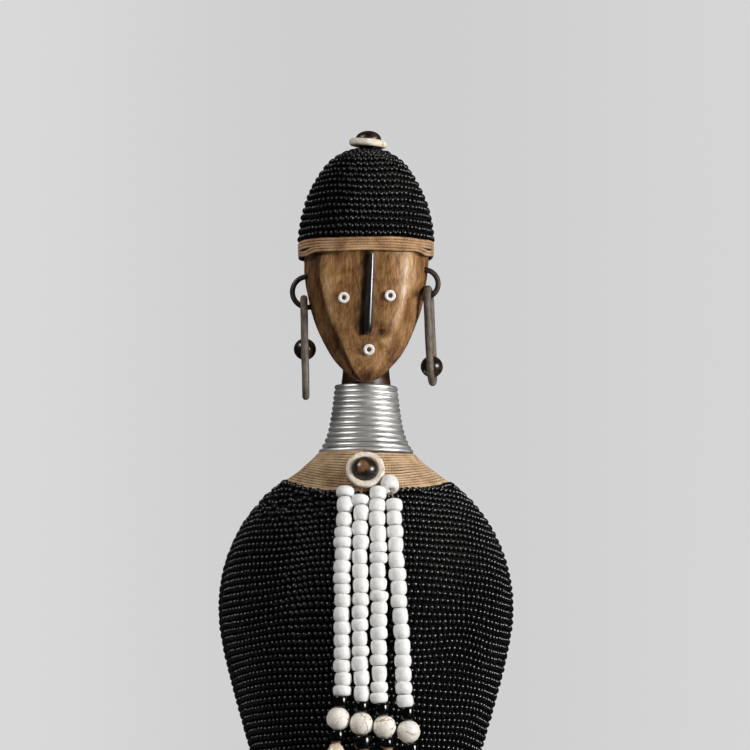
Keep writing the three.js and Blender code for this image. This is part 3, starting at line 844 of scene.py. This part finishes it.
def scattered_beads(places, normals, tangents, lengths, radius, unruly, rng):
    """Points of all the beads, each a little out of line, and much more so where it is unruly."""
    points, faces = seed_bead()
    count = len(places)
    up = np.cross(tangents, normals)

    def astray(steady, loose):
        return rng.normal(0, steady, (count, 1)) + unruly[:, None] * rng.normal(0, loose, (count, 1))

    places = places + up * astray(0.05, 0.42)
    places = places + normals * astray(0.04, 0.16)
    thread = unit(tangents + astray(0.07, 0.5) * up + astray(0.05, 0.18) * normals)
    out = unit(normals - (normals * thread).sum(-1, keepdims=True) * thread)
    size = radius * np.clip(rng.normal(1, 0.045, (count, 1)), 0.88, 1.1)
    scales = (0.98 * lengths[:, None], thread), (size, out), (size, np.cross(thread, out))
    offsets = [(points[:, i] * scale)[..., None] * way[:, None] for i, (scale, way) in enumerate(scales)]
    tone = np.repeat(rng.random(count), len(points))
    all_points = places[:, None] + sum(offsets)
    all_faces = faces[None] + (np.arange(count) * len(points))[:, None, None]
    return all_points.reshape(-1, 3), all_faces.reshape(-1, 3), tone


def beaded_wrap(name, path, turns, length, radius, unruly_at, finish, node, seed, kept_at=None, parts=1):
    """Seed beads on a wound thread. They are shared among a number of pieces, from the bottom."""
    rng = np.random.default_rng(seed)
    along, lengths = bead_row(path, turns, length, rng)
    places, normals = path(along)
    step = 2e-4
    tangents = unit(path(along + step)[0] - path(along - step)[0])
    kept = np.flatnonzero(kept_at(places)) if kept_at else np.arange(len(places))
    for i, some in enumerate(np.split(kept, np.linspace(0, len(kept), parts + 1).astype(int)[1:-1])):
        rows = [array[some] for array in (places, normals, tangents, lengths)]
        points, faces, tone = scattered_beads(*rows, radius, unruly_at(places[some]), rng)
        title = name if parts == 1 else name + "_" + str(i + 1)
        mesh_piece(title, points, faces.tolist(), finish, [node], tone)


def body_beads(finish):
    lift = -SEED_RADIUS
    turns, level_at = wound_level(body_surface, BODY_BOTTOM + SEED_RADIUS, HEM + 4, ROW_PITCH, lift, 0.7)
    drift = ripples(21, 30, 0.35)

    def path(along):
        angle = TURN * along - FRONT
        level = level_at(stepped(along))
        tilt = ROW_TILT * smooth((level - BODY_BOTTOM) / (LEVEL_BELOW - BODY_BOTTOM))
        z = level - tilt * DEPTH_RATIO * body_half_width(level) * np.sin(angle)
        z = z + drift(body_surface(z, angle)) * smooth((level - BODY_BOTTOM) / 10)
        return lifted(body_surface, z, angle, lift)

    def hem_path(along):
        level = HEM - HEM_ROW_DROP + drift(along[:, None] * np.array([200, 0, 0]))
        return lifted(hem_surface, level, TURN * along + FRONT, lift)

    def kept(places):
        angle = np.arctan2(places[:, 1] / DEPTH_RATIO, places[:, 0])
        return places[:, 2] < hem_height(angle) - HEM_ROW_ROOM

    def unruly(places):
        high = smooth((places[:, 2] - UNRULY_ABOVE) / UNRULY_FADE)
        return high * smooth((UNRULY_LEFT_OF - places[:, 0]) / UNRULY_FADE)

    seeds = (SEED_LENGTH, SEED_RADIUS, unruly, finish, "beaded_body")
    beaded_wrap("body_seed_beads", path, turns, *seeds, 31, kept, 3)
    beaded_wrap("hem_seed_beads", hem_path, 1, *seeds, 33)


def cap_beads(finish):
    lift = GAP + CAP_SKIN - CAP_SEED_RADIUS
    top = CROWN - 0.02
    turns, level_at = wound_level(head_surface, CAP_HEM + CAP_SEED_RADIUS, top, CAP_ROW_PITCH, lift)
    drift = ripples(22, 16, 0.16)

    def path(along):
        angle = TURN * along - FRONT
        level = np.minimum(level_at(stepped(along)), top)
        z = np.minimum(level + drift(head_surface(level, angle)) * smooth((top - level) / 6), top)
        return lifted(head_surface, z, angle, lift + 0.6 * smooth((z - 266) / 8))

    def kept(places):
        return np.hypot(places[:, 0], places[:, 1]) > CAP_OPENING

    def unruly(places):
        return 0.12 + 0.2 * smooth((places[:, 2] - 266) / 6)

    seeds = (CAP_SEED_LENGTH, CAP_SEED_RADIUS, unruly, finish, "beaded_cap")
    beaded_wrap("cap_seed_beads", path, turns, *seeds, 32, kept)


def bead_bed(name, surface, levels, lift, finish, node):
    """The thread and backing that show black between the beads."""
    outside = surface_rings(surface, levels, lift, 96)
    inside = surface_rings(surface, levels[::-1], lift - BED_THICKNESS, 96)
    dress(np.concatenate([outside, inside]), name, finish, "black_seed_beads", node)


def bead_beds(finish):
    levels = np.linspace(BODY_BOTTOM, HEM - 0.3, 60)
    bead_bed("body_bead_bed", hem_surface, levels, BODY_BED_LIFT, finish, "beaded_body")
    dome = BROW + (CROWN - BROW) * np.sin(np.radians(np.linspace(5, 82, 30)))
    bead_bed("cap_bead_bed", head_surface, dome, CAP_BED_LIFT, finish, "beaded_cap")


def add_wound_cord(shape, surface, low, high, turns, lift, radius, seed, waver=0.1, clockwise=1):
    """A twisted cord wound from a low level to a high one."""
    along = np.linspace(0, turns, int(turns * 400))
    angle = clockwise * TURN * along + FRONT + 2.2
    path, normals = lifted(surface, low + (high - low) * along / turns, angle, lift)
    run = run_along(path)
    stops = np.linspace(0, run[-1], int(run[-1] / 0.3))
    path, normals = picked(path, run, stops), picked(normals, run, stops)
    path[:, 2] += ripples(seed, 14, waver)(path)
    path += normals * ripples(seed + 1, 6, 0.06)(path)[:, None]
    shape.add_cord(path, normals, radius)


def collar_turns(finish):
    half = (COLLAR_TOP - COLLAR_HEM) / COLLAR_TURNS / 2
    low, high, hem = COLLAR_HEM + half, COLLAR_TOP - half, COLLAR_HEM + 0.1
    shape = Shape()
    add_wound_cord(shape, collar_surface, low, high, COLLAR_TURNS, -0.55, 0.56, 41, 0.05, -1)
    add_wound_cord(shape, collar_surface, hem, hem, 1, -0.5, 0.58, 43)
    along = np.linspace(0.3, 0.98, 240)
    z = WIRE_BOTTOM - 1 + WIRE * along
    path, normals = lifted(wire_surface, z, WIRE_START - TURN * along, -0.9)
    shape.add_cord(path, normals, 0.5)
    shape.piece("collar_twine_turns", finish, "twine", ["collar_twine"])


def headband_turns(finish):
    half = (HEADBAND_TOP - HEADBAND_BOTTOM) / HEADBAND_TURNS / 2
    low, high = HEADBAND_BOTTOM + half, HEADBAND_TOP - half
    shape = Shape()
    add_wound_cord(shape, band_surface, low, high, HEADBAND_TURNS, HEADBAND_LIFT, 0.57, 45, 0.18)
    shape.piece("headband_twine_turns", finish, "twine", ["headband_twine"])


def neck_coil(finish):
    """The wire, which starts level on its own turn, climbs and thins out at its ends."""
    along = np.linspace(0, WIRE_TURNS - 0.25, WIRE_TURNS * 80)
    angle = WIRE_START - TURN * along
    z = WIRE_BOTTOM + WIRE * (along - 0.09 + 0.33 * np.exp(-((along / 0.22) ** 2)))
    z = z + ripples(51, 30, 0.06)(wire_surface(z, angle))
    path, normals = lifted(wire_surface, z, angle, -WIRE / 2)
    radius = np.full(len(path), WIRE / 2)
    ends = (0.35, 0.75, 0.93)
    radius[:3] *= ends
    radius[-3:] *= ends[::-1]
    dress(tube(path, normals, radius, 12), "neck_wire_coil", finish, "wire", "neck_wire", looped=False)


# What is set on the head

def rounded_ring(radius, half_width, half_height, sides, section, flatness=2.6):
    """Rings round the Z axis with a section between a circle and a rounded square."""
    across, up = np.cos(spread(section)), np.sin(spread(section))
    reach = (np.abs(across) ** flatness + np.abs(up) ** flatness) ** (-1 / flatness)
    return revolved(np.stack([radius + half_width * reach * across, half_height * reach * up], -1), sides)


def ellipsoid(radius, half_height):
    angles = np.linspace(-math.pi / 2, math.pi / 2, 25)
    angles[[0, -1]] += (0.02, -0.02)
    return revolved(np.stack([radius * np.cos(angles), half_height * np.sin(angles)], -1), 40)


def nose_strip(finish):
    """A strip down the middle of the face, rounded below and narrower above."""
    section = oval(NOSE["half_width"], NOSE["height"], spread(28), 0)
    rings = []
    for share in np.clip(np.sin(np.linspace(0.03, math.pi / 2, 48)) ** 2, 0.002, 0.995):
        z = NOSE["bottom"] + (NOSE["top"] - NOSE["bottom"]) * share
        x = NOSE["bottom_x"] + (NOSE["top_x"] - NOSE["bottom_x"]) * share
        rounded = math.sqrt(1 - max(0, 1 - share / 0.12) ** 2)
        narrowed = 1 - (1 - NOSE_TOP_HALF_WIDTH / NOSE["half_width"]) * share**2
        rings.append(face_place(x, z)[0] + rounded * narrowed * section)
    dress(rings, "nose", finish, "horn", "nose_strip", looped=False)


def face_rings(finish):
    outer, hole, thickness = (FACE_RING[key] for key in ("radius", "hole", "thickness"))
    ring = rounded_ring((outer + hole) / 2, (outer - hole) / 2, thickness / 2, 40, 16)
    for node, (x, z) in FACE_RING_PLACES.items():
        point, normal = face_place(x, z)
        place = point + normal * (GAP + thickness / 2 - 0.25)
        dress(moved(ring, place, normal), "ring_" + node, finish, "white_glass", node)


def link_top(earring):
    x, z, radius = earring["hoop"]
    wire_z = z - math.sqrt(radius**2 - (earring["link_x"] - x) ** 2)
    return wire_z + HOOP_WIRE / 2 + 2 * GAP + LINK_WIRE


def link_rings(earring):
    """A long closed link, seen edge on from the front, before it is hung."""
    half_depth = EAR_BEAD_RADIUS + GAP + LINK_WIRE / 2
    half_length = (earring["length"] - LINK_WIRE) / 2 - half_depth
    bend = np.linspace(0, math.pi, 14)
    top = xyz(0, half_depth * np.cos(bend), half_length + half_depth * np.sin(bend))
    half = np.concatenate([np.linspace(-top[-1], top[0], 14, endpoint=False), top[:-1]])
    path = np.concatenate([half, -half])
    across = np.array([[1, 0, 0]])
    outwards = np.cross(unit(np.roll(path, -1, axis=0) - np.roll(path, 1, axis=0)), across)
    radius = LINK_WIRE / 2 * (1 + ripples(61, 12, 0.12)(path) * 0.25)
    return swept(path, outwards, across, radius[:, None, None], spread(14))[::-1]


def hung(rings, earring):
    """Turns a link's rings about its length, leans them and hangs them on the hoop."""
    turn = np.array(Matrix.Rotation(earring["turn"], 3, "Z"))
    lean = np.array(Matrix.Rotation(-earring["lean"], 3, "Y"))
    lowered = rings @ turn.T + np.array([0, 0, -earring["length"] / 2])
    place = np.array([earring["link_x"], EAR_Y, link_top(earring)])
    return lowered @ lean.T + place


def box_of(node):
    """The middle and the half sizes of a node's box."""
    low, high = np.array(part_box(node)) / MM
    return (low + high) / 2, (high - low) / 2


def ear_rings(iron, grey, dark):
    for side, earring in EARRINGS.items():
        hoop = hoop_rings(earring["hoop"], HOOP_WIRE)
        dress(hoop, "hoop_" + side, iron, "iron", "ear_hoop_" + side)
        link = hung(link_rings(earring), earring)
        dress(link, "link_" + side, grey, "grey_metal", "ear_link_" + side)
        node = "ear_bead_" + side
        bead = moved(ellipsoid(EAR_BEAD_RADIUS, EAR_BEAD_RADIUS * 0.97), box_of(node)[0], (0.2, 0.1, 1))
        dress(bead, "round_" + node, dark, "dark_wood", node, looped=False)


def cap_top(bone, dull):
    lean = (math.sin(CAP_RING["lean"]), 0, math.cos(CAP_RING["lean"]))
    ring = rounded_ring(CAP_RING["radius"], CAP_RING["half_width"], CAP_RING["half_height"], 64, 18)
    place = box_of("cap_ring")[0] + (0, 0, CAP_RING["raised"])
    ring = moved(uneven(ring, 71, 0.1), place, lean)
    dress(ring, "top_ring", bone, "bone", "cap_ring")
    centre, half = box_of("cap_bead")
    bead = moved(ellipsoid(CAP_BEAD_RADIUS, half[2]), centre)
    dress(bead, "top_bead", dull, "dark_wood", "cap_bead", looped=False)


def pendant(bone, dark):
    place = np.array(PENDANT["place"])
    facing = np.array([0, -math.cos(PENDANT["lean"]), math.sin(PENDANT["lean"])])
    ring = rounded_ring(PENDANT["radius"], PENDANT["half_width"], 1, 72, 18, 4)
    ring = moved(uneven(ring, 72, 0.08), place, facing)
    dress(ring, "pendant_bone_ring", bone, "bone", "pendant_ring")
    bead = moved(ellipsoid(PENDANT["bead"], 3.9), place + facing * 0.4, facing)
    # Painted light: the bead is paler in the middle of its face and darker towards its rim.
    painted_light_middle = 0.4 + 0.6 * smooth((np.linspace(-1, 1, len(bead)) - 0.4) / 0.45)
    tone = painted_light_middle[:, None]
    dress(bead, "pendant_round_bead", dark, "dark_wood", "pendant_bead", looped=False, tone=tone)


# The bead strings

def string_point(string, z):
    share = (string["top"] - z) / (string["top"] - string["end"])
    first, half, last = string["x"]
    x = first * (1 - share) * (1 - 2 * share) + last * share * (2 * share - 1)
    x = x + 4 * half * share * (1 - share)
    width = body_half_width(np.maximum(z, WIDEST))
    return xyz(x, -DEPTH_RATIO * np.sqrt(width**2 - x**2) - WHITE_RADIUS - 2 * GAP, z)


def barrel(radius, half_height, hole, waist, roundness, flatness, rows, inside, sides):
    """A barrel bead about the Z axis, with a hole that has rings at some shares of the height."""
    bend = np.radians(np.linspace(-90, 90, rows))
    girth = radius * (1 - waist + waist * np.cos(bend) ** roundness)
    height = half_height * np.copysign(np.abs(np.sin(bend)) ** flatness, bend)
    inner = [(hole, half_height * share) for share in inside]
    return revolved(np.concatenate([np.stack([girth, height], -1), inner]), sides)


def pony_bead(radius, height, hole=0.75):
    return barrel(radius, height / 2, hole, 0.5, 0.72, 0.88, 15, (0.92, 0, -0.92), 24)


def white_strings(finish):
    rng = np.random.default_rng(81)
    for number, string in enumerate(STRINGS, 1):
        heights = np.array([BEAD_KINDS[kind][0] for kind in string["beads"]])
        heights *= (string["top"] - string["end"]) / heights.sum()
        tops = string["top"] - np.r_[0, np.cumsum(heights)[:-1]]
        shape = Shape()
        for kind, height, top in zip(string["beads"], heights, tops):
            along = string_point(string, top) - string_point(string, top - height)
            radius = WHITE_RADIUS * BEAD_KINDS[kind][1] * rng.normal(1, 0.02)
            axis = along / along[2] * (1, 0.45, 1) + np.array([*rng.normal(0, 0.045, 2), 0])
            place = string_point(string, top - height / 2) + np.array([rng.normal(0, 0.16), 0, 0])
            bead = uneven(pony_bead(radius, height * 1.01), int(rng.integers(1e6)), 0.06, 6)
            shape.add(moved(bead, place, axis, rng.uniform(0, TURN)), True, rng.random())
        shape.piece("white_bead_string_" + str(number), finish, "white_glass", ["white_beads_" + str(number)])


def cowrie(half_width, half_depth, half_length):
    """A cowrie along the Z axis with its toothed slit towards -Y."""
    t = np.sin(np.linspace(-math.pi / 2 + 0.06, math.pi / 2 - 0.06, 60))[:, None]
    around = spread(56)
    girth = np.sqrt(1 - t**2) * (1 - 0.2 * t)
    x = half_width * girth * np.cos(around)
    y = half_depth * girth * np.sin(around)
    y = np.where(y < 0, y * 0.8, y)
    front = smooth(-np.sin(around) * 1.6)
    along = smooth((1 - np.abs(t)) / 0.2)
    slit = 1.3 * np.exp(-((x / 0.55) ** 2)) * front * along
    teeth = 0.16 * np.cos(TURN * t * 9) * np.exp(-(((np.abs(x) - 1.3) / 0.7) ** 2)) * front * along
    return xyz(x, y + slit + teeth, half_length * t)


def hangings(black, stone, shell):
    """What hangs below the white beads: black bead, round stone bead, black bead and cowrie."""
    for number in range(1, len(STRINGS) + 1):
        for node in ("upper_black_bead_" + str(number), "lower_black_bead_" + str(number)):
            centre, half = box_of(node)
            bead = barrel(max(half[:2]), half[2] + GAP, 0.7, 0.38, 0.5, 0.7, 13, (0.9, -0.9), 28)
            dress(moved(bead, centre), "glass_" + node, black, "black_glass", node)
        node = "stone_bead_" + str(number)
        centre, half = box_of(node)
        ball = uneven(ellipsoid(half[2], half[2]), 90 + number, 0.07)
        dress(moved(ball, centre, (0.1, 0, 1)), "round_" + node, stone, "howlite", node, looped=False)
        node = "cowrie_" + str(number)
        centre, half = box_of(node)
        edge_on = half[1] > half[0]
        form = cowrie(max(half[:2]), min(half[:2]), half[2])
        form = moved(form, centre, (0, 0, 1), TURN / 4 if edge_on else 0)
        dress(form, "shell_" + node, shell, "shell", node, looped=False)


def loose_bead(finish):
    centre, half = box_of("loose_bead")
    bead = moved(pony_bead(half[0], 2 * half[2], 0.8), centre - (0, 0, 0.8), (-0.15, 0.8, 1))
    dress(bead, "large_white_bead", finish, "white_glass", "loose_bead")


def under_collar(z):
    """The y of the middle of the collar's front at a height, just under its twine."""
    return 0.8 - collar_front(COLLAR_TOP - z)


def pendant_cord(finish):
    """The cord through the pendant's bead, which runs back under the collar."""
    x, y, z = PENDANT["place"]
    rise = 2.4
    share = np.linspace(0, 1, 14)
    path = xyz(x, y + (under_collar(z + rise) - y) * share, z + rise * share**1.5)
    Shape().add_cord(path, np.array([1, 0, 0]), 0.6).piece("pendant_cord", finish, "twine")


def string_cords(finish):
    """The cord through each string, from under the collar down to a knot at the shell."""
    knot_angles = np.linspace(0, 1.9 * TURN, 46)
    outwards = oval(1, 1, knot_angles, 0)
    knot = 1.15 * outwards + xyz(0, 0, 0.7 + 0.42 * knot_angles / TURN)
    for number, string in enumerate(STRINGS, 1):
        shell_centre, shell_half = box_of("cowrie_" + str(number))
        low = shell_centre + (0, 0, shell_half[2] - 1)
        down = string_point(string, np.linspace(string["top"], string["end"], 40))
        start = down[0] + (string["away"], 0, 4.3)
        start[1] = under_collar(start[2])
        bend = [start, (start + down[0]) / 2 + (0, -0.8, 0.4)]
        path = np.concatenate([bend, down, [box_of("stone_bead_" + str(number))[0]], [low]])
        run = run_along(path)
        path = picked(path, run, np.arange(0, run[-1], 0.5))
        shape = Shape().add_cord(path, np.array([0, -1, 0]), STRING_CORD)
        shape.add_cord(knot + low, outwards, 0.5)
        shape.piece("string_cord_" + str(number), finish, "twine")


# Studio

BLACK = (0, 0, 0)
STAGE_COLOURS = ((207, 207, 208), (217, 217, 217))
FLOOR_GREY = (212, 212, 212)
STAGE_RADIUS = 6000
STAGE_SIDES = 64


def stand(made, place, target):
    """Puts a camera or a lamp at a place, in metres, aimed at a target."""
    made.location = place
    made.rotation_mode = "QUATERNION"
    made.rotation_quaternion = (place - target).to_track_quat("Z", "Y")


def hide(made, *rays):
    for ray in rays:
        setattr(made, "visible_" + ray, False)


def add_camera():
    camera = placed("camera", bpy.data.cameras.new("camera"))
    stand(camera, Vector(CAMERA_PLACE) * MM, Vector(CAMERA_TARGET) * MM)
    camera.data.lens = CAMERA_LENS
    camera.data.sensor_width = 36
    camera.data.clip_end = 20
    bpy.context.scene.camera = camera


def softbox(name, azimuth, elevation, distance, width, height, radiance):
    """A soft light at an angle to the front, aimed at the doll. Angles in degrees, sizes in metres."""
    light = bpy.data.lights.new(name, "AREA")
    light.shape = "RECTANGLE"
    light.size = width
    light.size_y = height
    light.energy = radiance * math.pi * width * height
    lamp = placed(name, light)
    a, e = math.radians(azimuth), math.radians(elevation)
    aim = Vector((0, 0, 0.17))
    away = Vector((math.sin(a) * math.cos(e), -math.cos(a) * math.cos(e), math.sin(e)))
    stand(lamp, aim + away * distance, aim)
    hide(lamp, "camera")
    return lamp


def add_lights():
    softbox("key", 58, 8, 1.6, 0.66, 0.46, 26.5)
    softbox("fill", -62, 40, 1.7, 0.6, 0.45, 12.5)
    hide(softbox("ceiling", 4, 60, 1.9, 0.6, 0.4, 4), "glossy")
    world = bpy.data.worlds.new("studio")
    bpy.context.scene.world = world
    world.use_nodes = True
    background = world.node_tree.nodes["Background"]
    background.inputs["Color"].default_value = (1, 1, 1, 1)
    background.inputs["Strength"].default_value = 0.03


def stage_finish(name, inner, outer, near=None):
    """A pale glow that changes slowly across the stage, or a floor that runs into that glow."""
    stage = Finish(name, 0.9, specular=0.1)
    across = stage.node("SeparateXYZ", {0: stage.place()}, "X")
    left = stage.between(across, -0.08, -0.5)
    right = stage.math("MULTIPLY", stage.between(across, 0.08, 0.52), stage.noise(1800, 1))
    colour = stage.ramp(stage.add(right, 1.4, left), (0, inner), (1, outer))
    far = 1.0
    if near:
        away = stage.node("VectorMath", {0: stage.place()}, "Value", operation="LENGTH")
        far = stage.between(away, 0.25, 1.5)
    stage.feed("Base Color", stage.mix(far, near or BLACK, BLACK))
    stage.feed("Emission Color", stage.mix(far, BLACK, colour))
    stage.shader.inputs["Emission Strength"].default_value = 1
    return stage


def floor_bounce_finish():
    bounce = Finish("pale_floor_bounce", 0.9, specular=0.0)
    bounce.colour(bounce.noise(900, 1), (0, (186, 186, 186)), (1, (190, 190, 190)))
    return bounce


def stage_object(name, points, faces, finish, *unseen_by):
    made = mesh_object(name, points, faces, finish)
    hide(made, *unseen_by)


def add_stage():
    rim = revolved([(STAGE_RADIUS, 0)], STAGE_SIDES)[0]
    disc = [list(range(STAGE_SIDES))]
    floor = stage_finish("pale_floor", *STAGE_COLOURS, FLOOR_GREY)
    stage_object("floor", rim, disc, floor, "glossy", "diffuse", "shadow")
    under = rim - (0, 0, 2)
    stage_object("floor_that_throws_light_back", under, disc, floor_bounce_finish(), "camera", "glossy")
    bend = np.radians(np.linspace(0, 86, 24))
    profile = np.stack([0.999 * STAGE_RADIUS * np.cos(bend), STAGE_RADIUS * np.sin(bend) - 10], -1)
    faces = ring_faces(len(profile), STAGE_SIDES, False)
    faces.pop(-2)  # the dome stays open below
    backdrop = stage_finish("pale_backdrop", *STAGE_COLOURS)
    rays = ("diffuse", "glossy", "transmission", "shadow")
    stage_object("backdrop", revolved(profile, STAGE_SIDES), faces, backdrop, *rays)
    bpy.context.scene.view_settings.view_transform = "Standard"


def build():
    band_twine = twine_finish("headband_twine", (112, 82, 54), (184, 142, 100), (222, 184, 140))
    collar_twine = twine_finish("collar_twine", (156, 120, 86), (212, 176, 136), (234, 205, 166))
    bone = bone_finish()
    dark = dark_wood_finish("polished_dark_wood", 0.3, 0.3)
    white = white_glass_finish()
    carved_figure(wood_finish())
    body_beads(seed_bead_finish("black_seed_glass", 0.64))
    cap_beads(seed_bead_finish("black_cap_glass", 0.42))
    bead_beds(bead_bed_finish())
    collar_turns(collar_twine)
    headband_turns(band_twine)
    neck_coil(wire_finish())
    nose_strip(horn_finish())
    face_rings(white)
    iron = metal_finish("dark_iron", (46, 42, 38), (88, 80, 73), 0.48, 0.5)
    grey = metal_finish("grey_metal", (92, 84, 75), (132, 122, 110), 0.66, 0.2)
    ear_rings(iron, grey, dark)
    cap_top(bone, dark_wood_finish("dull_dark_wood", 0.36, 0.15, (58, 42, 31)))
    pendant(bone, dark)
    white_strings(white)
    loose_bead(white)
    hangings(black_glass_finish(), howlite_finish(), shell_finish())
    string_twine = twine_finish("string_twine", (92, 64, 42), (150, 112, 78), (186, 148, 110))
    string_cords(string_twine)
    pendant_cord(string_twine)


add_camera()
add_stage()
add_lights()
build()
